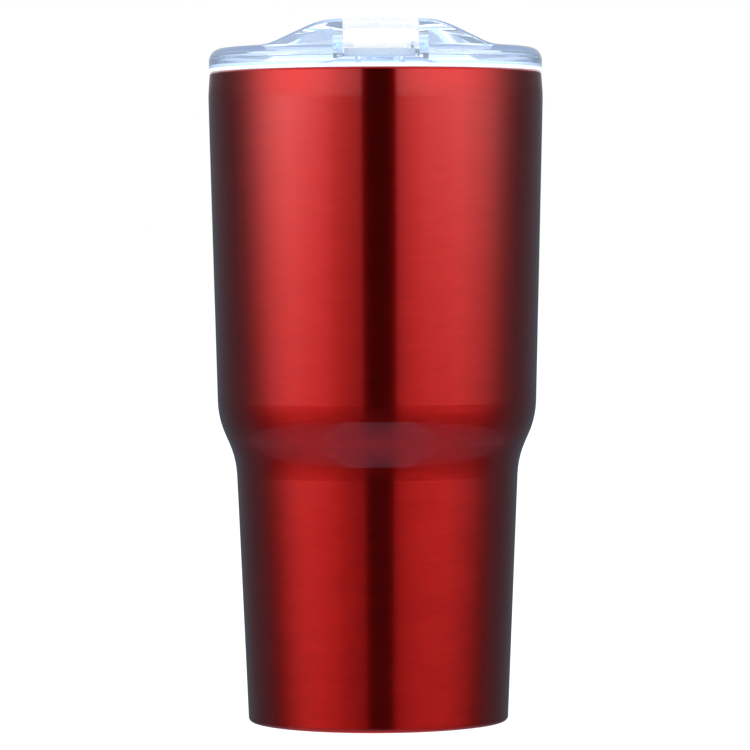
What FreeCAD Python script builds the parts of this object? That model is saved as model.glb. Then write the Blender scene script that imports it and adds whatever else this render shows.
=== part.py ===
import FreeCAD, Part
import math
import os
import Sketcher

# Stepped double-wall steel tumbler with a clear press-in lid.
# Frame: base centre at the origin, +Z up, drinking side towards -Y. Lengths in millimetres.

# ---------------------------------------------------------------- driving dimensions

DIMENSIONS = {
    # cup: outside corners of the painted wall, before rounding
    "foot_radius": 34.65,
    "step_low_radius": 37.64,
    "step_low_level": 70.3,
    "step_high_radius": 42.37,
    "step_high_level": 80.9,
    "rim_radius": 44.7,
    "rim_level": 173.0,
    "step_blend": 23.4,
    "foot_round": 1.2,
    "rim_round": 0.8,
    "rim_draw": 0.6,
    "rim_draw_level": 167.0,
    "rim_draw_blend": 40.0,
    "sheet_steel": 0.5,
    "vacuum_gap": 2.2,
    "foot_inner_radius": 31.2,
    # cup: liner floor, base and getter
    "liner_floor_level": 10.0,
    "liner_weld_level": 12.4,
    "liner_floor_round": 2.2,
    "cover_radius": 33.2,
    "cover_sheet": 0.5,
    "cover_rise": 1.15,
    "cover_rise_radius": 29.0,
    "vacuum_base_level": 5.0,
    "vacuum_base_sheet": 0.6,
    "vacuum_base_skirt": 2.6,
    "seal_radius": 4.8,
    "seal_depth": 1.0,
    "pump_hole_radius": 0.8,
    "getter_radius": 7.0,
    "getter_depth": 2.1,
    "foil_gap": 0.1,
    "foil_sheet": 0.15,
    "foil_low": 20.0,
    "foil_high": 160.0,
    # lid: lower moulding
    "lid_gap": 0.1,
    "plate_depth": 1.7,
    "plate_lip_radius": 44.3,
    "plate_lip_depth": 0.8,
    "plug_radius": 39.9,
    "plug_wall": 2.0,
    "plug_depth": 11.0,
    "groove_depth": 1.0,
    "groove_low": 164.3,
    "groove_high": 168.7,
    "seal_lip_radius": 40.95,
    "seal_sleeve_radius": 40.45,
    "seal_flange_radius": 44.4,
    "seal_round": 0.2,
    "seal_play": 0.05,
    # lid: upper moulding
    "flange_radius": 44.3,
    "flange_top": 179.3,
    "flange_round": 3.3,
    "bridge_top": 185.5,
    "bridge_top_half": 15.0,
    "bridge_foot_half": 29.1,
    "bridge_radius": 42.0,
    "bridge_top_blend": 22.0,
    "bridge_foot_blend": 12.0,
    "bridge_edge_round": 0.9,
    "lid_wall": 2.2,
    "channel_half": 9.9,
    "cheek": 2.2,
    "channel_floor": 177.0,
    "channel_sheet": 1.6,
    "recess_floor": 175.6,
    "recess_length": 13.0,
    "sip_length": 12.0,
    "sip_width": 6.0,
    "sip_offset": 33.3,
    "vent_radius": 1.0,
    "vent_offset": 20.0,
    "vent_boss": 3.0,
    # flip tab
    "tab_half": 9.7,
    "tab_top": 185.3,
    "tab_sheet": 2.4,
    "tab_rear": 1.8,
    "tab_rear_round": 1.7,
    "tab_front_round": 0.5,
    "tab_lip_bottom": 179.5,
    "tab_lip_inner": 39.2,
    "tab_skirt": 1.3,
    "tab_skirt_depth": 1.5,
    "tab_boss_half": 7.0,
    "tab_boss_width": 5.0,
    "hinge_level": 181.3,
    "pin_radius": 1.0,
    "pin_half": 12.0,
    "pin_play": 0.05,
    "pin_seat_play": 0.02,
    "knuckle_radius": 2.2,
    "knuckle_half": 9.5,
    # silicone stopper under the tab
    "stopper_half": 9.2,
    "stopper_width": 7.6,
    "stopper_low": 175.75,
    "stopper_top": 178.0,
    "stopper_socket": 1.0,
    "stopper_round": 0.5,
}

SHEET = "Sizes"
LONG = 400.0        # longer than anything here, for cuts that go right through

doc = FreeCAD.newDocument("tumbler")


class Size:
    """A length together with the sheet formula that gives it."""

    def __init__(self, value, formula):
        self.value = float(value)
        self.formula = formula

    def __add__(self, other):
        other = as_size(other)
        return Size(self.value + other.value, f"({self.formula} + {other.formula})")

    def __sub__(self, other):
        other = as_size(other)
        return Size(self.value - other.value, f"({self.formula} - {other.formula})")

    def __mul__(self, factor):
        return Size(self.value * factor, f"({self.formula} * {factor:g})")

    def __neg__(self):
        return self * -1


def as_size(number):
    """A Size as it is, or a plain number as a Size."""
    if isinstance(number, Size):
        return number
    return Size(number, f"{number:g} mm")


def write_sheet():
    """Put the driving dimensions in the sheet and return each as a Size."""
    sheet = doc.addObject("Spreadsheet::Sheet", SHEET)
    sizes = {}
    for row, (alias, value) in enumerate(DIMENSIONS.items(), start=1):
        sheet.set(f"A{row}", alias)
        sheet.set(f"B{row}", str(value))
        sheet.setAlias(f"B{row}", alias)
        sizes[alias] = Size(value, f"{SHEET}.{alias} * 1 mm")
    doc.recompute()
    return sizes


S = write_sheet()


def bind(item, name, size):
    """Bind one property of an object to the sheet."""
    item.setExpression(name, as_size(size).formula)


# ---------------------------------------------------------------- sketches

def new_body(label):
    body = doc.addObject("PartDesign::Body", label)
    body.Label = label
    return body


def new_sketch(body, role, label, lift=None):
    """A sketch on one of the body's own origin planes, moved along its normal by lift."""
    plane = [item for item in body.Origin.OriginFeatures if item.Role == role][0]
    sketch = body.newObject("Sketcher::SketchObject", label)
    sketch.AttachmentSupport = [(plane, "")]
    sketch.MapMode = "FlatFace"
    if lift is not None:
        bind(sketch, "AttachmentOffset.Base.z", lift)
    return sketch


def pin_point(sketch, geometry, corner, across, up):
    """Hold a point of the sketch at a place given by two sizes."""
    for kind, size in (("DistanceX", across), ("DistanceY", up)):
        size = as_size(size)
        index = sketch.addConstraint(
            Sketcher.Constraint(kind, -1, 1, geometry, corner, size.value))
        sketch.setExpression(f"Constraints[{index}]", size.formula)


def corner_arc(before, corner, after, radius):
    """Start, end, centre of the arc that rounds a corner, and whether it turns left."""
    into = (corner - before).normalize()
    out = (after - corner).normalize()
    turn = math.acos(max(-1.0, min(1.0, into.dot(out))))
    reach = radius * math.tan(turn / 2)
    left = into.cross(out).z > 0
    normal = FreeCAD.Vector(-into.y, into.x, 0) * (1 if left else -1)
    start = corner - into * reach
    return start, corner + out * reach, start + normal * radius, left


def outline(sketch, corners):
    """Draw a closed outline: each corner is (across, up) or (across, up, rounding radius)."""
    corners = [[as_size(value) for value in corner] for corner in corners]
    points = [FreeCAD.Vector(corner[0].value, corner[1].value, 0) for corner in corners]
    count = len(corners)
    rounds = {}
    for index, corner in enumerate(corners):
        if len(corner) == 3:
            rounds[index] = corner_arc(points[index - 1], points[index],
                                       points[(index + 1) % count], corner[2].value)
    lines = []
    for index in range(count):
        following = (index + 1) % count
        start = rounds[index][1] if index in rounds else points[index]
        end = rounds[following][0] if following in rounds else points[following]
        lines.append(sketch.addGeometry(Part.LineSegment(start, end)))
    for index, corner in enumerate(corners):
        arriving, leaving = lines[index - 1], lines[index]
        if index not in rounds:
            sketch.addConstraint(Sketcher.Constraint("Coincident", arriving, 2, leaving, 1))
            pin_point(sketch, leaving, 1, corner[0], corner[1])
            continue
        start, end, centre, left = rounds[index]
        first, last = (start, end) if left else (end, start)
        angles = [math.atan2(p.y - centre.y, p.x - centre.x) for p in (first, last)]
        circle = Part.Circle(centre, FreeCAD.Vector(0, 0, 1), corner[2].value)
        arc = sketch.addGeometry(Part.ArcOfCircle(circle, angles[0], angles[1]))
        ends = (1, 2) if left else (2, 1)
        sketch.addConstraint(Sketcher.Constraint("Tangent", arriving, 2, arc, ends[0]))
        sketch.addConstraint(Sketcher.Constraint("Tangent", leaving, 1, arc, ends[1]))
        tip = sketch.addGeometry(Part.Point(points[index]), True)
        sketch.addConstraint(Sketcher.Constraint("PointOnObject", tip, 1, arriving))
        sketch.addConstraint(Sketcher.Constraint("PointOnObject", tip, 1, leaving))
        pin_point(sketch, tip, 1, corner[0], corner[1])
        radius = sketch.addConstraint(Sketcher.Constraint("Radius", arc, corner[2].value))
        sketch.setExpression(f"Constraints[{radius}]", corner[2].formula)
    return sketch


def circle(sketch, radius, across=0, up=0):
    """Draw a circle whose centre and radius are bound to the sheet."""
    radius, across, up = as_size(radius), as_size(across), as_size(up)
    centre = FreeCAD.Vector(across.value, up.value, 0)
    ring = sketch.addGeometry(Part.Circle(centre, FreeCAD.Vector(0, 0, 1), radius.value))
    pin_point(sketch, ring, 3, across, up)
    index = sketch.addConstraint(Sketcher.Constraint("Radius", ring, radius.value))
    sketch.setExpression(f"Constraints[{index}]", radius.formula)
    return sketch


def rectangle(sketch, left, right, low, high, rounding=None):
    """Draw a rectangle, with its corners rounded if asked."""
    corners = [(left, low), (right, low), (right, high), (left, high)]
    if rounding is not None:
        corners = [corner + (rounding,) for corner in corners]
    return outline(sketch, corners)


def slot(sketch, length, width, up):
    """Draw a slot across the lid, centred on X: straight sides with nearly round ends."""
    half, reach = width * 0.5, length * 0.5
    return rectangle(sketch, -reach, reach, up - half, up + half, width * 0.49)


# ---------------------------------------------------------------- features

def revolve(body, corners, label):
    """Turn a closed outline (radius, level) about the Z axis."""
    sketch = outline(new_sketch(body, "YZ_Plane", label + "_profile"), corners)
    turned = body.newObject("PartDesign::Revolution", label + "_revolution")
    turned.Profile = sketch
    turned.ReferenceAxis = (sketch, ["V_Axis"])
    turned.Angle = 360.0
    return turned


def raise_pad(body, sketch, label, length, both_sides=False, down=False):
    """Pad a sketch along its normal, both ways or backwards if asked."""
    pad = body.newObject("PartDesign::Pad", label)
    pad.Profile = sketch
    pad.SideType = "Symmetric" if both_sides else "One side"
    pad.Reversed = down
    bind(pad, "Length", length)
    return pad


def cut_pocket(body, sketch, label, length, both_sides=False, up=False):
    """Pocket a sketch against its normal, both ways or forwards if asked."""
    doc.recompute()
    before = body.Shape.Volume
    pocket = body.newObject("PartDesign::Pocket", label)
    pocket.Profile = sketch
    pocket.SideType = "Symmetric" if both_sides else "One side"
    pocket.Reversed = up
    bind(pocket, "Length", length)
    doc.recompute()
    if body.Shape.Volume >= before:
        raise RuntimeError(f"{label} cut nothing")
    return pocket


def trim_round(body, radius, label):
    """Cut away everything outside an upright cylinder about the Z axis."""
    sketch = new_sketch(body, "XY_Plane", label + "_ring")
    circle(sketch, radius)
    circle(sketch, as_size(LONG))
    cut_pocket(body, sketch, label, LONG * 2, both_sides=True)


def round_edges(body, label, radius, wanted):
    """Fillet the edges of the body's last feature that the test wanted(edge) picks."""
    doc.recompute()
    base = body.Tip
    names = [f"Edge{number}" for number, edge in enumerate(base.Shape.Edges, start=1)
             if wanted(edge)]
    if not names:
        raise RuntimeError(f"{label} found no edge")
    fillet = body.newObject("PartDesign::Fillet", label)
    fillet.Base = (base, names)
    bind(fillet, "Radius", radius)
    return fillet


def block(label, left, right, front, back, low, high):
    """A box between six sizes."""
    box = doc.addObject("Part::Box", label)
    bind(box, "Length", as_size(right) - left)
    bind(box, "Width", as_size(back) - front)
    bind(box, "Height", as_size(high) - low)
    for axis, size in zip("xyz", (left, front, low)):
        bind(box, f"Placement.Base.{axis}", size)
    return box


def rod(label, radius, half_length, level):
    """A round bar along X, centred on the hinge line."""
    bar = doc.addObject("Part::Cylinder", label)
    bind(bar, "Radius", radius)
    bind(bar, "Height", half_length * 2)
    bar.Placement = FreeCAD.Placement(
        FreeCAD.Vector(0, 0, 0), FreeCAD.Rotation(FreeCAD.Vector(0, 1, 0), 90))
    bind(bar, "Placement.Base.x", -half_length)
    bind(bar, "Placement.Base.z", level)
    return bar


def boolean(kind, label, base, tools):
    """Cut or fuse objects; several tools become one chain."""
    result = base
    for number, tool in enumerate(tools, start=1):
        last = number == len(tools)
        step = doc.addObject(f"Part::{kind}", label if last else f"{label}_{kind}_{number}")
        step.Base = result
        step.Tool = tool
        result = step
    return result


# ---------------------------------------------------------------- cup

def wall_line(inset, low, high, upward=True):
    """Corners of the stepped wall moved inwards by inset, between two end corners."""
    corners = [low,
               (S["step_low_radius"] - inset, S["step_low_level"], S["step_blend"]),
               (S["step_high_radius"] - inset, S["step_high_level"], S["step_blend"]),
               high]
    return corners if upward else corners[::-1]


def wall_radius(inset, level):
    """Radius of the lower wall at a level, moved inwards by inset."""
    slope = ((S["step_low_radius"].value - S["foot_radius"].value)
             / S["step_low_level"].value)
    return S["foot_radius"] + as_size(level) * slope - inset


def upper_radius(inset, level):
    """Radius of the upper wall at a level, moved inwards by inset."""
    slope = ((S["rim_radius"].value - S["step_high_radius"].value)
             / (S["rim_level"].value - S["step_high_level"].value))
    return S["rim_radius"] - (S["rim_level"] - level) * slope - inset


def make_outer_shell():
    """Painted outer wall, turned in under the foot, drawn in and turned over at the rim."""
    wall = S["sheet_steel"]
    inner_rim = S["rim_radius"] - wall - S["vacuum_gap"]
    outer_rim = S["rim_radius"] - S["rim_draw"]
    under_rim = S["rim_level"] - wall
    draw = S["rim_draw_level"]
    body = new_body("outer_shell")
    outside = wall_line(as_size(0),
                        (S["foot_radius"], 0, S["foot_round"]),
                        (upper_radius(as_size(0), draw), draw, S["rim_draw_blend"]))
    inside = wall_line(wall, (wall_radius(wall, wall), wall),
                       (upper_radius(wall, draw), draw, S["rim_draw_blend"] - wall),
                       upward=False)
    revolve(body, [(S["foot_inner_radius"], 0)] + outside
            + [(outer_rim, S["rim_level"], S["rim_round"]),
               (inner_rim, S["rim_level"]), (inner_rim, under_rim),
               (outer_rim - wall, under_rim)]
            + inside + [(S["foot_inner_radius"], wall)], "outer_shell")
    return body


def make_inner_liner():
    """Bare steel liner tube, welded to the rim at the top and to its floor below."""
    outer = S["sheet_steel"] + S["vacuum_gap"]
    inner = outer + S["sheet_steel"]
    weld = S["liner_weld_level"]
    body = new_body("inner_liner")
    outside = wall_line(outer, (wall_radius(outer, weld), weld),
                        (S["rim_radius"] - outer, S["rim_level"]))
    inside = wall_line(inner, (wall_radius(inner, weld), weld),
                       (S["rim_radius"] - inner, S["rim_level"], S["sheet_steel"] * 0.6),
                       upward=False)
    revolve(body, outside + inside, "inner_liner")
    return body


def make_liner_bottom():
    """Dished floor of the liner."""
    outer = S["sheet_steel"] + S["vacuum_gap"]
    inner = outer + S["sheet_steel"]
    low, weld = S["liner_floor_level"], S["liner_weld_level"]
    top = low + S["sheet_steel"]
    curve = S["liner_floor_round"]
    body = new_body("liner_bottom")
    revolve(body, [(0, low), (wall_radius(outer, low), low, curve - S["sheet_steel"] * 0.5),
                   (wall_radius(outer, weld), weld), (wall_radius(inner, weld), weld),
                   (wall_radius(inner, top), top, curve - S["sheet_steel"] * 1.5),
                   (0, top)], "liner_bottom")
    return body


def make_vacuum_base():
    """Inner base plate that closes the vacuum, with a pump hole in a raised seat."""
    sheet, level = S["vacuum_base_sheet"], S["vacuum_base_level"]
    skirt, seat = S["vacuum_base_skirt"], S["seal_depth"]
    edge = S["sheet_steel"] + S["foil_gap"] * 0.5
    seat_radius = S["seal_radius"] + 0.3
    body = new_body("vacuum_base")
    revolve(body, [(S["pump_hole_radius"], level + seat),
                   (seat_radius, level + seat), (seat_radius, level),
                   (wall_radius(edge + sheet, level), level),
                   (wall_radius(edge + sheet, skirt), skirt),
                   (wall_radius(edge, skirt), skirt),
                   (wall_radius(edge, level + sheet), level + sheet, sheet),
                   (seat_radius + sheet, level + sheet),
                   (seat_radius + sheet, level + sheet + seat),
                   (S["pump_hole_radius"], level + sheet + seat)], "vacuum_base")
    return body


def make_base_cover():
    """Thin steel disc seen in the recess of the foot."""
    low, sheet = S["sheet_steel"] + 0.05, S["cover_sheet"]
    high = low + S["cover_rise"]
    raised = S["cover_rise_radius"]
    body = new_body("base_cover")
    revolve(body, [(0, high), (raised - 0.6, high), (raised, low), (S["cover_radius"], low),
                   (S["cover_radius"], low + sheet), (raised + 0.4, low + sheet),
                   (raised - 0.2, high + sheet), (0, high + sheet)], "base_cover")
    return body


def make_seal_pellet():
    """Solder plug melted over the pump hole."""
    low = S["vacuum_base_level"] + 0.15
    top = S["vacuum_base_level"] + S["seal_depth"]
    body = new_body("seal_pellet")
    revolve(body, [(0, low), (S["seal_radius"], low, 0.3), (S["seal_radius"], top),
                   (0, top)], "seal_pellet")
    return body


def make_getter_cup():
    """Small steel cup under the liner floor that holds the getter."""
    top = S["liner_floor_level"] - 0.3
    low = top - S["getter_depth"]
    sheet = 0.3
    body = new_body("getter_cup")
    revolve(body, [(0, top - sheet), (S["getter_radius"] - sheet, top - sheet),
                   (S["getter_radius"] - sheet, low), (S["getter_radius"], low),
                   (S["getter_radius"], top), (0, top)], "getter_cup")
    return body


def make_getter_pellet():
    """Pressed getter disc."""
    top = S["liner_floor_level"] - 0.65
    radius = S["getter_radius"] - 1.2
    body = new_body("getter_pellet")
    revolve(body, [(0, top - 1.4), (radius, top - 1.4, 0.2), (radius, top), (0, top)],
            "getter_pellet")
    return body


def make_foil_wrap():
    """Reflecting foil wound round the liner."""
    inner = S["sheet_steel"] + S["vacuum_gap"] - S["foil_gap"]
    outer = inner - S["foil_sheet"]
    low, high = S["foil_low"], S["foil_high"]
    body = new_body("foil_wrap")
    revolve(body, wall_line(outer, (wall_radius(outer, low), low),
                            (upper_radius(outer, high), high))
            + wall_line(inner, (wall_radius(inner, low), low),
                        (upper_radius(inner, high), high), upward=False), "foil_wrap")
    return body


def make_foil_disc():
    """Foil ring under the liner floor, round the getter cup."""
    top = S["liner_floor_level"] - S["foil_gap"]
    inner = S["getter_radius"] + 1.0
    outer = wall_radius(8.0, S["liner_floor_level"].value)
    body = new_body("foil_disc")
    revolve(body, [(inner, top - S["foil_sheet"]), (outer, top - S["foil_sheet"]),
                   (outer, top), (inner, top)], "foil_disc")
    return body


# ---------------------------------------------------------------- lid

PLATE_LOW = S["rim_level"] + S["lid_gap"]
PLATE_TOP = PLATE_LOW + S["plate_depth"]


def make_lid_base():
    """Lower lid moulding: floor plate with a lip under the flange, and plug wall with a groove."""
    plug, inside = S["plug_radius"], S["plug_radius"] - S["plug_wall"]
    groove = plug - S["groove_depth"]
    foot = PLATE_LOW - S["plug_depth"]
    lip_low = PLATE_TOP - S["plate_lip_depth"]
    body = new_body("lid_base")
    revolve(body, [(0, PLATE_LOW), (inside, PLATE_LOW, 1.0), (inside, foot, 0.5),
                   (plug, foot, 0.8), (plug, S["groove_low"]), (groove, S["groove_low"]),
                   (groove, S["groove_high"]), (plug, S["groove_high"]), (plug, lip_low),
                   (S["plate_lip_radius"], lip_low), (S["plate_lip_radius"], PLATE_TOP),
                   (0, PLATE_TOP)], "lid_base")
    sip = slot(new_sketch(body, "XY_Plane", "plate_sip_outline", PLATE_TOP),
               S["sip_length"], S["sip_width"], -S["sip_offset"])
    cut_pocket(body, sip, "plate_sip_hole", S["plate_depth"] * 2)
    vent = circle(new_sketch(body, "XY_Plane", "plate_vent_outline", PLATE_TOP),
                  S["vent_radius"], 0, S["vent_offset"])
    cut_pocket(body, vent, "plate_vent_hole", S["plate_depth"] * 2)
    return body


def make_lid_gasket():
    """One silicone ring: two lips and a sleeve on the plug, and a flange between lid and rim."""
    play, corner = S["seal_play"], S["seal_round"]
    inner = S["plug_radius"] - S["groove_depth"] + play
    sleeve_in = S["plug_radius"] + play
    sleeve, lip, rim = S["seal_sleeve_radius"], S["seal_lip_radius"], S["seal_flange_radius"]
    low, shoulder = S["groove_low"] + play, S["groove_high"] - play
    under_lip = PLATE_TOP - S["plate_lip_depth"] - play
    body = new_body("lid_gasket")
    revolve(body, [(inner, low), (S["plug_radius"], low), (lip, low + 0.9), (lip, low + 1.4),
                   (sleeve, low + 2.1), (lip, low + 3.0), (lip, low + 3.5),
                   (sleeve, low + 4.2), (sleeve, PLATE_LOW), (rim, PLATE_LOW, corner),
                   (rim, under_lip, corner), (sleeve_in, under_lip), (sleeve_in, shoulder),
                   (inner, shoulder)],
            "lid_gasket")
    return body


def bridge_form(label, inset, radius):
    """Raised bridge across the lid: an S-sided ridge trimmed round at its ends."""
    top, foot = S["bridge_top"] - inset, S["flange_top"] - inset
    top_half = S["bridge_top_half"] - inset * 0.4
    foot_half = S["bridge_foot_half"] - inset * 0.4
    body = new_body(label)
    ridge = outline(new_sketch(body, "XZ_Plane", label + "_section"), [
        (-S["bridge_radius"], PLATE_TOP), (S["bridge_radius"], PLATE_TOP),
        (S["bridge_radius"], foot), (foot_half, foot, S["bridge_foot_blend"]),
        (top_half, top, S["bridge_top_blend"]), (-top_half, top, S["bridge_top_blend"]),
        (-foot_half, foot, S["bridge_foot_blend"]), (-S["bridge_radius"], foot)])
    raise_pad(body, ridge, label + "_ridge", S["bridge_radius"] * 2.2, both_sides=True)
    trim_round(body, radius, label + "_trim")
    return body


def make_lid_top():
    """Upper lid moulding: hollow flange and bridge, with the channel that takes the tab."""
    outer = bridge_form("lid_outer_form", as_size(0), S["bridge_radius"])
    round_edges(outer, "bridge_rounding", S["bridge_edge_round"],
                lambda edge: edge.BoundBox.ZMin > S["flange_top"].value + 0.05
                and edge.BoundBox.XLength > 1.0 and edge.BoundBox.YLength < 20.0
                and abs(edge.BoundBox.Center.y) > 20.0)
    revolve(outer, [(0, PLATE_TOP), (S["flange_radius"], PLATE_TOP),
                    (S["flange_radius"], S["flange_top"], S["flange_round"]),
                    (0, S["flange_top"])], "flange")

    wall = S["lid_wall"]
    inner = bridge_form("lid_inner_form", wall, S["bridge_radius"] - wall)
    revolve(inner, [(0, PLATE_TOP), (S["flange_radius"] - wall, PLATE_TOP),
                    (S["flange_radius"] - wall, S["flange_top"] - wall, 0.8),
                    (0, S["flange_top"] - wall)], "flange_hollow")
    cheek_out = S["channel_half"] + S["cheek"]
    reach = S["flange_radius"] * 1.2
    core = block("channel_core", -cheek_out, cheek_out, -reach, reach, PLATE_TOP - 1,
                 S["bridge_top"] + 5)
    hollow = boolean("Cut", "lid_hollow", inner, [core])

    half, high = S["channel_half"], S["bridge_top"] + 5
    recess_back = -S["bridge_radius"] + S["recess_length"]
    channel = block("channel_space", -half, half, -reach, reach, S["channel_floor"], high)
    recess = block("recess_space", -half, half, -reach, recess_back, S["recess_floor"], high)
    under = block("floor_relief", -half, half, recess_back + S["channel_sheet"],
                  S["bridge_radius"] - wall, PLATE_TOP - 1, S["channel_floor"] - S["channel_sheet"])
    vent_boss = doc.addObject("Part::Cylinder", "vent_boss")
    bind(vent_boss, "Radius", S["vent_boss"])
    bind(vent_boss, "Height", S["channel_floor"] - PLATE_TOP)
    bind(vent_boss, "Placement.Base.y", S["vent_offset"])
    bind(vent_boss, "Placement.Base.z", PLATE_TOP)
    relief = boolean("Cut", "floor_relief_ring", under, [vent_boss])
    vent = doc.addObject("Part::Cylinder", "vent_bore")
    bind(vent, "Radius", S["vent_radius"])
    bind(vent, "Height", S["bridge_top"] - S["rim_level"])
    bind(vent, "Placement.Base.y", S["vent_offset"])
    bind(vent, "Placement.Base.z", S["rim_level"])

    sip = new_body("sip_bore")
    raise_pad(sip, slot(new_sketch(sip, "XY_Plane", "sip_outline", S["rim_level"]),
                        S["sip_length"], S["sip_width"], -S["sip_offset"]),
              "sip_column", S["bridge_top"] - S["rim_level"])
    seat = rod("pin_seat", S["pin_radius"] + S["pin_seat_play"], S["pin_half"] + 0.4,
               S["hinge_level"])
    return boolean("Cut", "lid_top", outer,
                   [hollow, channel, recess, relief, vent, sip, seat])


def make_hinge_pin():
    """Clear pin between the channel's cheeks."""
    return rod("hinge_pin", S["pin_radius"], S["pin_half"], S["hinge_level"])


# ---------------------------------------------------------------- flip tab

def make_flip_tab():
    """Clear tab: slab, finger lip, stiffening skirts, stopper boss and hinge knuckle."""
    half, top, sheet = S["tab_half"], S["tab_top"], S["tab_sheet"]
    front = -S["bridge_radius"] - 1
    under = top - sheet
    body = new_body("flip_tab")

    slab = rectangle(new_sketch(body, "XY_Plane", "slab_outline", top), -half, half,
                     front, S["tab_rear"])
    raise_pad(body, slab, "slab", sheet, down=True)

    lip = rectangle(new_sketch(body, "XY_Plane", "lip_outline", top), -half, half,
                    front, -S["tab_lip_inner"])
    raise_pad(body, lip, "finger_lip", top - S["tab_lip_bottom"], down=True)

    for side, name in ((-1, "left"), (1, "right")):
        outer, inner = half * side, (half - S["tab_skirt"]) * side
        edges = sorted((outer, inner), key=lambda size: size.value)
        skirt = rectangle(new_sketch(body, "XY_Plane", f"{name}_skirt_outline", top),
                          edges[0], edges[1], -S["tab_lip_inner"] - 0.5, -S["knuckle_radius"] * 2)
        raise_pad(body, skirt, f"{name}_skirt", sheet + S["tab_skirt_depth"], down=True)

    boss_half = S["tab_boss_width"] * 0.5
    boss = rectangle(new_sketch(body, "XY_Plane", "boss_outline", top), -S["tab_boss_half"],
                     S["tab_boss_half"], -S["sip_offset"] - boss_half,
                     -S["sip_offset"] + boss_half, 0.8)
    raise_pad(body, boss, "stopper_boss",
              top - S["stopper_top"] + S["stopper_socket"] - S["seal_play"], down=True)

    knuckle = new_sketch(body, "YZ_Plane", "knuckle_outline")
    circle(knuckle, S["knuckle_radius"], 0, S["hinge_level"])
    raise_pad(body, knuckle, "knuckle", S["knuckle_half"] * 2, both_sides=True)

    trim_round(body, S["bridge_radius"], "tab_front")
    bore = circle(new_sketch(body, "YZ_Plane", "pin_bore_outline"),
                  S["pin_radius"] + S["pin_play"], 0, S["hinge_level"])
    cut_pocket(body, bore, "pin_bore", half * 3, both_sides=True)
    round_edges(body, "tab_rear_rounding", S["tab_rear_round"],
                lambda edge: edge.BoundBox.ZMin > top.value - 0.01
                and edge.BoundBox.YMin > 0.5)
    round_edges(body, "tab_front_rounding", S["tab_front_round"],
                lambda edge: edge.BoundBox.ZMin > top.value - 0.01
                and edge.BoundBox.YMax < -S["tab_lip_inner"].value)
    return body


def make_sip_stopper():
    """Silicone pad on the tab's boss that covers the sip hole."""
    centre, half = -S["sip_offset"], S["stopper_width"] * 0.5
    low, top = S["stopper_low"], S["stopper_top"]
    body = new_body("sip_stopper")
    pad_outline = rectangle(new_sketch(body, "XY_Plane", "stopper_outline", low),
                            -S["stopper_half"], S["stopper_half"], centre - half,
                            centre + half, 1.2)
    raise_pad(body, pad_outline, "stopper_block", top - low)
    round_edges(body, "stopper_rounding", S["stopper_round"],
                lambda edge: edge.BoundBox.ZMax < low.value + 0.01)
    boss_half = S["tab_boss_width"] * 0.5
    socket = rectangle(new_sketch(body, "XY_Plane", "socket_outline", top),
                       -S["tab_boss_half"] - S["seal_play"], S["tab_boss_half"] + S["seal_play"],
                       centre - boss_half - S["seal_play"], centre + boss_half + S["seal_play"],
                       0.8)
    cut_pocket(body, socket, "boss_socket", S["stopper_socket"])
    return body


# ---------------------------------------------------------------- assembly and files

MAKERS = {
    "outer_shell": make_outer_shell,
    "inner_liner": make_inner_liner,
    "liner_bottom": make_liner_bottom,
    "vacuum_base": make_vacuum_base,
    "base_cover": make_base_cover,
    "seal_pellet": make_seal_pellet,
    "getter_cup": make_getter_cup,
    "getter_pellet": make_getter_pellet,
    "foil_wrap": make_foil_wrap,
    "foil_disc": make_foil_disc,
    "lid_base": make_lid_base,
    "lid_gasket": make_lid_gasket,
    "lid_top": make_lid_top,
    "hinge_pin": make_hinge_pin,
    "flip_tab": make_flip_tab,
    "sip_stopper": make_sip_stopper,
}


def check_document():
    """Stop if any object failed to compute."""
    failed = [item.Name for item in doc.Objects
              if "Invalid" in item.State or "Error" in item.State]
    if failed:
        raise RuntimeError(f"failed objects: {failed}")


def check_piece(name, shape):
    """Stop if a piece is empty, broken or in more than one solid."""
    if shape.isNull() or not shape.isValid():
        raise RuntimeError(f"{name} has no valid shape")
    if len(shape.Solids) != 1:
        raise RuntimeError(f"{name} has {len(shape.Solids)} solids")


pieces = {name: make() for name, make in MAKERS.items()}
doc.recompute()
check_document()
os.makedirs("parts", exist_ok=True)
for name, piece in pieces.items():
    piece.Label = name
    check_piece(name, piece.Shape)
for name, piece in pieces.items():
    piece.Shape.exportStep(f"parts/{name}.step")
    box = piece.Shape.BoundBox
    print(f"{name:14s} volume {piece.Shape.Volume / 1000:8.3f} cm3  "
          f"x {box.XMin:7.2f} {box.XMax:7.2f}  y {box.YMin:7.2f} {box.YMax:7.2f}  "
          f"z {box.ZMin:7.2f} {box.ZMax:7.2f}")
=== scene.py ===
import math

import bpy
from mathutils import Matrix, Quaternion, Vector


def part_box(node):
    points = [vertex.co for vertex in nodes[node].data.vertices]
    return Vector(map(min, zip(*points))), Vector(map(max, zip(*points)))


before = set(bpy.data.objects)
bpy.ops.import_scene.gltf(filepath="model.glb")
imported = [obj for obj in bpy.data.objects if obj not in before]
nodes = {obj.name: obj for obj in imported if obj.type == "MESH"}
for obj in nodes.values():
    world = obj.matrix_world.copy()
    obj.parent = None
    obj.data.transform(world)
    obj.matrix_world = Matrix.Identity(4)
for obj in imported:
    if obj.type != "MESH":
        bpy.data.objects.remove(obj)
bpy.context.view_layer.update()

# ---------------------------------------------------------------- places, in metres

RIM_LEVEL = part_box("outer_shell")[1][2]
PAINTED_RIM_SHADE_FROM = RIM_LEVEL - 0.0082     # painted shade: below the rim the lacquer darkens and its gloss coat weakens between these levels
PAINTED_RIM_SHADE_TO = RIM_LEVEL - 0.0060

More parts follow.
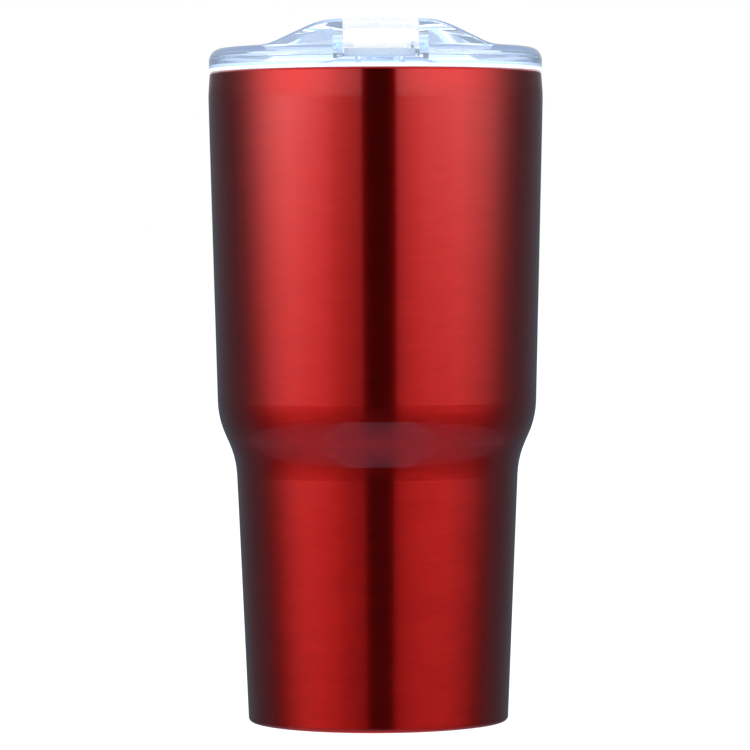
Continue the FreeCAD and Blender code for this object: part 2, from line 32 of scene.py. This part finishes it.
VIEW_TURN = math.radians(-2.0)      # the camera stands a touch to the lid's left
VIEW_ROLL = math.radians(-0.27)
CAMERA_DISTANCE = 1.245
CAMERA_LEVEL = 0.130
AIM_ACROSS = -0.0005
AIM_LEVEL = 0.0923
LENS = 224.0                        # millimetres, as is the sensor's width
SENSOR_WIDTH = 36.0
NEAREST_SEEN = 0.01

FLOOR_HALF = 8.0
FLOOR_LEVEL = -0.0001               # just clear of the foot, so that the two faces never share a plane

LIGHT_RADIUS = 1.15                 # the two curved light walls stand this far from the axis
LIGHT_LOW = -0.45
LIGHT_HIGH = 1.05
LIGHT_STEPS = 48

CARD_HALF = 0.65                    # the low card's half width, its two edges in front, and its level
CARD_NEAR = 0.45
CARD_FAR = 1.4
CARD_LEVEL = -0.6

DOME_RADIUS = 6.0
DOME_RINGS = 16
DOME_AROUND = 32


# ---------------------------------------------------------------- colours and brightness

WHITE = (1.0, 1.0, 1.0)
FLOOR_GREY = (0.35, 0.35, 0.36)
FLOOR_GLOW = 0.99
PAINTED_GLOW_BLUE = (0.52, 0.68, 1.0)       # painted glow: the colour a clear moulding emits all over, standing in for light gathered in its edges
GRAIN = (0.3, 0.7)                  # nearly all of a noise texture's values lie between these

# Brightness stops of the light walls: (share of the half turn from the front, value) round the
# cup, and (share of the wall's height, value) up it.
LIGHT_STRENGTH = 4.0
LOW_LEVELS = [(0.0, 0.06), (0.15, 0.06), (0.233, 0.12), (0.30, 0.30), (0.344, 0.50), (0.378, 0.80),
              (0.395, 1.0), (0.42, 1.0), (0.47, 0.0)]
HIGH_LEVELS = [(0.42, 0.0), (0.47, 1.0), (0.8, 1.0), (1.0, 0.7)]
LOW_LEFT = [(0.0, 0.0), (0.046, 0.0), (0.058, 0.065), (0.094, 0.085), (0.128, 0.112), (0.161, 0.145),
            (0.194, 0.23), (0.256, 0.34), (0.328, 0.46), (0.361, 0.45), (0.4, 0.385), (0.444, 0.30),
            (0.483, 0.20), (0.528, 0.11), (0.578, 0.035), (0.633, 0.0)]
LOW_RIGHT = [(0.0, 0.0), (0.070, 0.0), (0.081, 0.09), (0.094, 0.11), (0.128, 0.15), (0.161, 0.19),
             (0.194, 0.25), (0.256, 0.28), (0.328, 0.335), (0.4, 0.285), (0.483, 0.19),
             (0.528, 0.105), (0.578, 0.035), (0.633, 0.0)]
HIGH_LEFT = [(0.0, 0.0), (0.046, 0.0), (0.058, 0.35), (0.094, 0.40), (0.128, 0.48), (0.161, 0.56),
             (0.194, 0.65), (0.256, 0.71), (0.328, 0.70), (0.4, 0.62), (0.444, 0.50), (0.483, 0.40),
             (0.528, 0.24), (0.578, 0.12), (0.633, 0.05), (0.7, 0.02), (0.85, 0.02), (0.92, 0.08)]
HIGH_RIGHT = [(0.0, 0.0), (0.070, 0.0), (0.081, 0.38), (0.094, 0.46), (0.128, 0.55), (0.161, 0.61),
              (0.194, 0.64), (0.256, 0.66), (0.328, 0.66), (0.4, 0.54), (0.444, 0.45), (0.483, 0.36),
              (0.528, 0.23), (0.578, 0.12), (0.633, 0.05), (0.7, 0.02), (0.85, 0.02), (0.92, 0.08)]
BACK_STOPS = [(0.5, (0.0, 0.0, 0.0)), (0.62, (0.020, 0.026, 0.031)), (1.0, (0.018, 0.024, 0.029))]

# Colours round the dome: (share of the way from the front to the back, colour).
DOME_STOPS = [(0.0, (0.14, 0.24, 0.60)), (0.15, (0.30, 0.42, 0.80)), (0.32, (0.70, 0.82, 1.0)),
              (0.5, (0.86, 0.93, 1.0)), (0.9, (0.96, 0.98, 1.0))]

# Colours that the lacquer mirrors beyond the walls: (share of the way from below to above, colour).
WORLD_STOPS = [(0.0, (0.95, 0.42, 0.40)), (0.08, (0.60, 0.32, 0.34)), (0.16, (0.34, 0.27, 0.36)),
               (0.215, (0.25, 0.23, 0.31)), (0.31, (0.12, 0.11, 0.14)), (0.4, (0.06, 0.07, 0.08)),
               (0.60, (0.04, 0.05, 0.06)), (0.90, (0.12, 0.13, 0.16)), (0.96, (0.75, 0.78, 0.82)),
               (1.0, (0.95, 0.97, 1.0))]


# ---------------------------------------------------------------- node helpers

def new_material(name):
    """A material whose tree holds only an output: returns the material, its tree and that output."""
    material = bpy.data.materials.new(name)
    material.use_nodes = True
    tree = material.node_tree
    tree.nodes.clear()
    output = tree.nodes.new("ShaderNodeOutputMaterial")
    return material, tree, output


def link(tree, source, target):
    tree.links.new(source, target)


def math_node(tree, operation, first, second=None):
    """Arithmetic on numbers or sockets."""
    node = tree.nodes.new("ShaderNodeMath")
    node.operation = operation
    for socket, value in zip(node.inputs, (first, second)):
        if value is None:
            continue
        if isinstance(value, (int, float)):
            socket.default_value = value
        else:
            link(tree, value, socket)
    return node.outputs[0]


def ramp(tree, source, stops):
    """A colour ramp: stops are (position, grey or colour)."""
    node = tree.nodes.new("ShaderNodeValToRGB")
    elements = node.color_ramp.elements
    while len(elements) > 1:
        elements.remove(elements[0])
    for index, (position, value) in enumerate(stops):
        element = elements[0] if index == 0 else elements.new(position)
        element.position = position
        colour = (value,) * 3 if isinstance(value, (int, float)) else value
        element.color = (*colour, 1.0)
    link(tree, source, node.inputs["Fac"])
    return node.outputs["Color"]


def map_range(tree, source, low, high, to_low, to_high):
    """Source's run from low to high, turned into a run from to_low to to_high."""
    node = tree.nodes.new("ShaderNodeMapRange")
    limits = {"From Min": low, "From Max": high, "To Min": to_low, "To Max": to_high}
    for name, value in limits.items():
        node.inputs[name].default_value = value
    link(tree, source, node.inputs["Value"])
    return node.outputs["Result"]


def colour_node(tree, operation, first, second):
    """Two colours added or multiplied, channel by channel."""
    node = tree.nodes.new("ShaderNodeVectorMath")
    node.operation = operation
    link(tree, first, node.inputs[0])
    link(tree, second, node.inputs[1])
    return node.outputs[0]


def noise(tree, vector, scale, detail=2.0, roughness=0.5):
    node = tree.nodes.new("ShaderNodeTexNoise")
    node.inputs["Scale"].default_value = scale
    node.inputs["Detail"].default_value = detail
    node.inputs["Roughness"].default_value = roughness
    link(tree, vector, node.inputs["Vector"])
    return node.outputs["Fac"]


def object_point(tree):
    return tree.nodes.new("ShaderNodeTexCoord").outputs["Object"]


def parts_of(tree, vector):
    """The x, y and z sockets of a vector."""
    node = tree.nodes.new("ShaderNodeSeparateXYZ")
    link(tree, vector, node.inputs[0])
    return node.outputs


def turned_point(tree, around, along):
    """Coordinates that unroll a turned surface: angle times around, radius and height times along."""
    x, y, z = parts_of(tree, object_point(tree))
    angle = math_node(tree, "ARCTAN2", y, x)
    square = math_node(tree, "ADD", math_node(tree, "MULTIPLY", x, x),
                       math_node(tree, "MULTIPLY", y, y))
    radius = math_node(tree, "SQRT", square)
    join = tree.nodes.new("ShaderNodeCombineXYZ")
    link(tree, math_node(tree, "MULTIPLY", angle, around), join.inputs[0])
    link(tree, math_node(tree, "MULTIPLY", radius, along), join.inputs[1])
    link(tree, math_node(tree, "MULTIPLY", z, along), join.inputs[2])
    return join.outputs[0]


def bump(tree, height, strength, distance):
    node = tree.nodes.new("ShaderNodeBump")
    node.inputs["Strength"].default_value = strength
    node.inputs["Distance"].default_value = distance
    link(tree, height, node.inputs["Height"])
    return node.outputs["Normal"]


def round_tangent(tree):
    """The direction round the Z axis, which brushed metal's gloss follows."""
    node = tree.nodes.new("ShaderNodeTangent")
    node.direction_type = "RADIAL"
    node.axis = "Z"
    return node.outputs[0]


def two_tone(tree, source, low, high):
    """A noise texture coloured from low to high."""
    return ramp(tree, source, list(zip(GRAIN, (low, high))))


def dimmed(colour, share):
    return tuple(channel * share for channel in colour)


def principled(tree, output, **values):
    """A Principled shader whose plain values are set on its own sockets."""
    shader = tree.nodes.new("ShaderNodeBsdfPrincipled")
    for name, value in values.items():
        socket = shader.inputs[name.replace("_", " ")]
        socket.default_value = (*value, 1.0) if socket.type == "RGBA" else value
    link(tree, shader.outputs[0], output.inputs["Surface"])
    return shader


# ---------------------------------------------------------------- materials of the tumbler

def lacquered_steel():
    """Translucent red lacquer over steel brushed round the cup, with painted shade in a band below the
    rim: darker colour and half the gloss coat.
    """
    material, tree, output = new_material("red_lacquer")
    shader = principled(tree, output, Metallic=1.0, Anisotropic=1.0, Anisotropic_Rotation=0.25,
                        Coat_Roughness=0.03, Coat_IOR=1.5)
    lines = turned_point(tree, 7.0, 1500.0)
    fine = noise(tree, lines, 1.0, 3.0, 0.6)
    broad = noise(tree, turned_point(tree, 3.0, 260.0), 1.0, 2.0, 0.5)
    grain = math_node(tree, "ADD", math_node(tree, "MULTIPLY", fine, 0.6),
                      math_node(tree, "MULTIPLY", broad, 0.4))
    colour = two_tone(tree, grain, (0.52, 0.010, 0.009), (0.61, 0.014, 0.012))
    level = parts_of(tree, object_point(tree))[2]
    # painted shade: just below the rim the base colour is darkened and the gloss coat halved.
    shade = map_range(tree, level, PAINTED_RIM_SHADE_FROM, PAINTED_RIM_SHADE_TO, 1.0, 0.92)
    coat = map_range(tree, level, PAINTED_RIM_SHADE_FROM, PAINTED_RIM_SHADE_TO, 1.0, 0.5)
    link(tree, coat, shader.inputs["Coat Weight"])
    link(tree, colour_node(tree, "MULTIPLY", colour, shade), shader.inputs["Base Color"])
    link(tree, map_range(tree, grain, *GRAIN, 0.28, 0.32), shader.inputs["Roughness"])
    link(tree, bump(tree, fine, 0.02, 0.0002), shader.inputs["Normal"])
    link(tree, round_tangent(tree), shader.inputs["Tangent"])
    return material


def brushed_steel(name, grey, rough):
    """Bare steel turned or brushed about the Z axis."""
    material, tree, output = new_material(name)
    shader = principled(tree, output, Metallic=1.0, Anisotropic=0.8, Anisotropic_Rotation=0.25)
    lines = turned_point(tree, 5.0, 1600.0)
    fine = noise(tree, lines, 1.0, 3.0, 0.6)
    colour = two_tone(tree, fine, grey * 0.88, grey * 1.06)
    link(tree, colour, shader.inputs["Base Color"])
    link(tree, map_range(tree, fine, *GRAIN, rough * 0.85, rough * 1.2), shader.inputs["Roughness"])
    link(tree, bump(tree, fine, 0.05, 0.0002), shader.inputs["Normal"])
    link(tree, round_tangent(tree), shader.inputs["Tangent"])
    return material


def clear_plastic(name, tint, rough, glow, clear=1.0, painted_glow_tint=PAINTED_GLOW_BLUE):
    """Clear moulded copolyester: faint tint, a painted glow (it emits light though it is no lamp),
    slight unevenness from the mould.
    """
    material, tree, output = new_material(name)
    shader = principled(tree, output, Transmission_Weight=clear, IOR=1.54,
                        Emission_Color=painted_glow_tint, Emission_Strength=glow)
    point = object_point(tree)
    flow = noise(tree, point, 60.0, 2.0, 0.5)
    colour = ramp(tree, flow, [(0.35, dimmed(tint, 0.985)), (0.65, tint)])
    link(tree, colour, shader.inputs["Base Color"])
    link(tree, map_range(tree, noise(tree, point, 240.0), *GRAIN, rough, rough * 1.1 + 0.02),
         shader.inputs["Roughness"])
    link(tree, bump(tree, flow, 0.04, 0.0004), shader.inputs["Normal"])
    return material


def silicone(name, tint, glow):
    """Milky translucent silicone with a satin, slightly dusty skin, and a painted glow: it emits light
    in its own tint though it is no lamp.
    """
    material, tree, output = new_material(name)
    shader = principled(tree, output, Transmission_Weight=0.2, IOR=1.41, Subsurface_Weight=0.3,
                        Subsurface_Radius=(0.002, 0.002, 0.002), Subsurface_Scale=1.0,
                        Emission_Color=tint, Emission_Strength=glow)
    grain = noise(tree, object_point(tree), 900.0, 3.0, 0.6)
    link(tree, two_tone(tree, grain, dimmed(tint, 0.95), tint), shader.inputs["Base Color"])
    link(tree, map_range(tree, grain, *GRAIN, 0.35, 0.5), shader.inputs["Roughness"])
    link(tree, bump(tree, grain, 0.08, 0.0001), shader.inputs["Normal"])
    return material


def plain_metal(name, colour, rough, scale):
    """Foil or solder: soft mottling in colour and gloss."""
    material, tree, output = new_material(name)
    shader = principled(tree, output, Metallic=1.0)
    spots = noise(tree, object_point(tree), scale, 4.0, 0.6)
    link(tree, two_tone(tree, spots, dimmed(colour, 0.85), colour), shader.inputs["Base Color"])
    link(tree, map_range(tree, spots, *GRAIN, rough * 0.7, rough * 1.3), shader.inputs["Roughness"])
    link(tree, bump(tree, spots, 0.15, 0.0002), shader.inputs["Normal"])
    return material


def getter_powder():
    """Pressed dark getter powder."""
    material, tree, output = new_material("getter_powder")
    shader = principled(tree, output)
    grain = noise(tree, object_point(tree), 3000.0, 4.0, 0.7)
    link(tree, two_tone(tree, grain, 0.03, 0.09), shader.inputs["Base Color"])
    link(tree, map_range(tree, grain, *GRAIN, 0.75, 0.95), shader.inputs["Roughness"])
    link(tree, bump(tree, grain, 0.5, 0.0002), shader.inputs["Normal"])
    return material


STEEL = brushed_steel("brushed_steel", 0.74, 0.28)
COVER_STEEL = brushed_steel("turned_steel", 0.58, 0.3)
# The number after the roughness is a painted glow: each clear plastic emits light though it is no
# lamp, the tab's glow warm.
CLEAR = clear_plastic("clear_plastic", (0.93, 0.965, 1.0), 0.0, 0.10)
BASE_CLEAR = clear_plastic("hazy_plate_plastic", (0.86, 0.93, 1.0), 0.06, 0.16)
TAB_CLEAR = clear_plastic("frosted_tab_plastic", (0.97, 0.975, 0.98), 0.24, 0.15, 0.85,
                          painted_glow_tint=(1.0, 0.98, 0.93))
# painted glow: the gasket and the stopper pad emit light in their tint, the gasket brightest so that
# it looks near white.
SILICONE = silicone("milky_silicone_painted_glow", (0.86, 0.95, 1.0), 0.32)
PAD_SILICONE = silicone("soft_silicone_painted_glow", (0.74, 0.82, 0.92), 0.12)
FOIL = plain_metal("bright_foil", (0.86, 0.86, 0.88), 0.2, 300.0)
SOLDER = plain_metal("solder", (0.55, 0.55, 0.54), 0.45, 500.0)

FINISH = {
    "outer_shell": lacquered_steel(),
    "inner_liner": STEEL,
    "liner_bottom": STEEL,
    "vacuum_base": STEEL,
    "base_cover": COVER_STEEL,
    "seal_pellet": SOLDER,
    "getter_cup": STEEL,
    "getter_pellet": getter_powder(),
    "foil_wrap": FOIL,
    "foil_disc": FOIL,
    "lid_base": BASE_CLEAR,
    "lid_gasket": SILICONE,
    "lid_top": CLEAR,
    "hinge_pin": CLEAR,
    "flip_tab": TAB_CLEAR,
    "sip_stopper": PAD_SILICONE,
}

for name, material in FINISH.items():
    for material_slot in nodes[name].material_slots:
        material_slot.material = material


# ---------------------------------------------------------------- floor, backdrop and light

def stage_mesh(name, vertices, faces, material):
    """A smooth piece of the studio, not of the tumbler."""
    mesh = bpy.data.meshes.new(name)
    mesh.from_pydata(vertices, [], faces)
    item = bpy.data.objects.new(name, mesh)
    bpy.context.scene.collection.objects.link(item)
    mesh.materials.append(material)
    for polygon in mesh.polygons:
        polygon.use_smooth = True
    return item


def level_sheet(name, left, right, front, back, level, material):
    """A flat rectangle of the studio, facing up."""
    corners = [(left, front, level), (right, front, level), (right, back, level), (left, back, level)]
    return stage_mesh(name, corners, [(0, 1, 2, 3)], material)


def hide_from(item, *rays):
    """Make a piece unseen by the named kinds of ray."""
    for ray in rays:
        setattr(item, f"visible_{ray}", False)


def glow(name, strength, build):
    """A material that only gives light; build(tree) returns the socket that colours it."""
    material, tree, output = new_material(name)
    emission = tree.nodes.new("ShaderNodeEmission")
    emission.inputs["Strength"].default_value = strength
    link(tree, build(tree), emission.inputs["Color"])
    link(tree, emission.outputs[0], output.inputs["Surface"])
    return material


def make_floor():
    """A white floor that reflects little into the lacquer and lets the foot be seen from below."""
    material, tree, output = new_material("white_floor")
    diffuse = tree.nodes.new("ShaderNodeBsdfDiffuse")
    diffuse.inputs["Color"].default_value = (*FLOOR_GREY, 1.0)
    light = tree.nodes.new("ShaderNodeEmission")
    light.inputs["Strength"].default_value = FLOOR_GLOW
    both = tree.nodes.new("ShaderNodeAddShader")
    link(tree, diffuse.outputs[0], both.inputs[0])
    link(tree, light.outputs[0], both.inputs[1])
    one_sided = tree.nodes.new("ShaderNodeMixShader")
    link(tree, tree.nodes.new("ShaderNodeNewGeometry").outputs["Backfacing"], one_sided.inputs[0])
    link(tree, both.outputs[0], one_sided.inputs[1])
    link(tree, tree.nodes.new("ShaderNodeBsdfTransparent").outputs[0], one_sided.inputs[2])
    link(tree, one_sided.outputs[0], output.inputs["Surface"])
    floor = level_sheet("floor", -FLOOR_HALF, FLOOR_HALF, -FLOOR_HALF, FLOOR_HALF,
                        FLOOR_LEVEL, material)
    hide_from(floor, "glossy")


def light_wall(name, side, turn, low_stops, high_stops):
    """A curved wall of light on one side: a low and a high panel, each brighter to the side."""
    vertices, faces = [], []
    for index in range(LIGHT_STEPS + 1):
        angle = side * math.pi * index / LIGHT_STEPS
        x = LIGHT_RADIUS * math.sin(angle + turn)
        y = -LIGHT_RADIUS * math.cos(angle + turn)
        vertices += [(x, y, LIGHT_LOW), (x, y, LIGHT_HIGH)]
    for corner in range(0, LIGHT_STEPS * 2, 2):
        faces.append((corner, corner + 2, corner + 3, corner + 1))

    def brightness(tree):
        x, y, z = parts_of(tree, object_point(tree))
        angle = math_node(tree, "ARCTAN2", math_node(tree, "MULTIPLY", x, side),
                          math_node(tree, "MULTIPLY", y, -1.0))
        angle = math_node(tree, "SUBTRACT", angle, side * turn)
        half_turns = math_node(tree, "ADD", math_node(tree, "DIVIDE", angle, math.pi), 2.0)
        share = math_node(tree, "MODULO", half_turns, 2.0)
        height = map_range(tree, z, LIGHT_LOW, LIGHT_HIGH, 0.0, 1.0)
        lower = colour_node(tree, "MULTIPLY", ramp(tree, share, low_stops),
                            ramp(tree, height, LOW_LEVELS))
        upper = colour_node(tree, "MULTIPLY", ramp(tree, share, high_stops),
                            ramp(tree, height, HIGH_LEVELS))
        both = colour_node(tree, "ADD", lower, upper)
        return colour_node(tree, "ADD", both, ramp(tree, share, BACK_STOPS))

    wall = stage_mesh(name, vertices, faces, glow(name + "_glow", LIGHT_STRENGTH, brightness))
    hide_from(wall, "camera", "shadow")


def make_dome():
    """What the clear lid refracts: white behind and above, blue-grey on the camera's side."""
    def shade(tree):
        normal = tree.nodes.new("ShaderNodeVectorMath")
        normal.operation = "NORMALIZE"
        link(tree, object_point(tree), normal.inputs[0])
        backward = parts_of(tree, normal.outputs[0])[1]
        return ramp(tree, map_range(tree, backward, -1.0, 1.0, 0.0, 1.0), DOME_STOPS)

    vertices, faces = [], []
    for ring in range(DOME_RINGS + 1):
        tilt = -math.pi / 2 + math.pi * ring / DOME_RINGS
        for step in range(DOME_AROUND):
            turn = 2 * math.pi * step / DOME_AROUND
            vertices.append((DOME_RADIUS * math.cos(tilt) * math.cos(turn),
                             DOME_RADIUS * math.cos(tilt) * math.sin(turn),
                             DOME_RADIUS * math.sin(tilt)))
    for ring in range(DOME_RINGS):
        for step in range(DOME_AROUND):
            here = ring * DOME_AROUND + step
            beside = ring * DOME_AROUND + (step + 1) % DOME_AROUND
            faces.append((here, beside, beside + DOME_AROUND, here + DOME_AROUND))
    dome = stage_mesh("dome", vertices, faces, glow("dome_glow", 1.0, shade))
    hide_from(dome, "camera", "diffuse", "glossy", "shadow")


def make_world():
    """White to the camera; to all else dim grey level with the cup, and bright far above and below."""
    world = bpy.data.worlds.new("studio")
    bpy.context.scene.world = world
    world.use_nodes = True
    tree = world.node_tree
    tree.nodes.clear()
    output = tree.nodes.new("ShaderNodeOutputWorld")
    seen, reflected = (tree.nodes.new("ShaderNodeBackground") for _ in range(2))
    seen.inputs["Color"].default_value = (*WHITE, 1.0)
    upward = parts_of(tree, tree.nodes.new("ShaderNodeTexCoord").outputs["Generated"])[2]
    shade = ramp(tree, map_range(tree, upward, -1.0, 1.0, 0.0, 1.0), WORLD_STOPS)
    link(tree, shade, reflected.inputs["Color"])
    pick = tree.nodes.new("ShaderNodeMixShader")
    path = tree.nodes.new("ShaderNodeLightPath")
    link(tree, path.outputs["Is Camera Ray"], pick.inputs[0])
    link(tree, reflected.outputs[0], pick.inputs[1])
    link(tree, seen.outputs[0], pick.inputs[2])
    link(tree, pick.outputs[0], output.inputs["Surface"])


def make_lights():
    light_wall("light_wall_left", -1, VIEW_TURN, LOW_LEFT, HIGH_LEFT)
    light_wall("light_wall_right", 1, VIEW_TURN, LOW_RIGHT, HIGH_RIGHT)


def make_card():
    """A pale card low in front, seen only as a faint shape mirrored in the step."""
    def shade(tree):
        return two_tone(tree, noise(tree, object_point(tree), 8.0),
                        (0.17, 0.32, 0.48), (0.20, 0.36, 0.52))

    card = level_sheet("low_card", -CARD_HALF, CARD_HALF, -CARD_FAR, -CARD_NEAR, CARD_LEVEL,
                       glow("card_glow", 1.0, shade))
    hide_from(card, "camera", "diffuse", "transmission", "shadow")


def make_camera():
    """A long lens a little above the tumbler's middle, aimed at its middle."""
    data = bpy.data.cameras.new("camera")
    data.lens = LENS
    data.sensor_width = SENSOR_WIDTH
    data.clip_start = NEAREST_SEEN
    camera = bpy.data.objects.new("camera", data)
    bpy.context.scene.collection.objects.link(camera)
    camera.location = (CAMERA_DISTANCE * math.sin(VIEW_TURN),
                       -CAMERA_DISTANCE * math.cos(VIEW_TURN), CAMERA_LEVEL)
    aim = Vector((AIM_ACROSS, 0, AIM_LEVEL)) - camera.location
    roll = Quaternion((0, 0, 1), VIEW_ROLL)
    camera.rotation_euler = (aim.to_track_quat("-Z", "Y") @ roll).to_euler()
    bpy.context.scene.camera = camera


make_camera()
make_world()
make_floor()
make_lights()
make_card()
make_dome()
bpy.context.scene.view_settings.view_transform = "Standard"
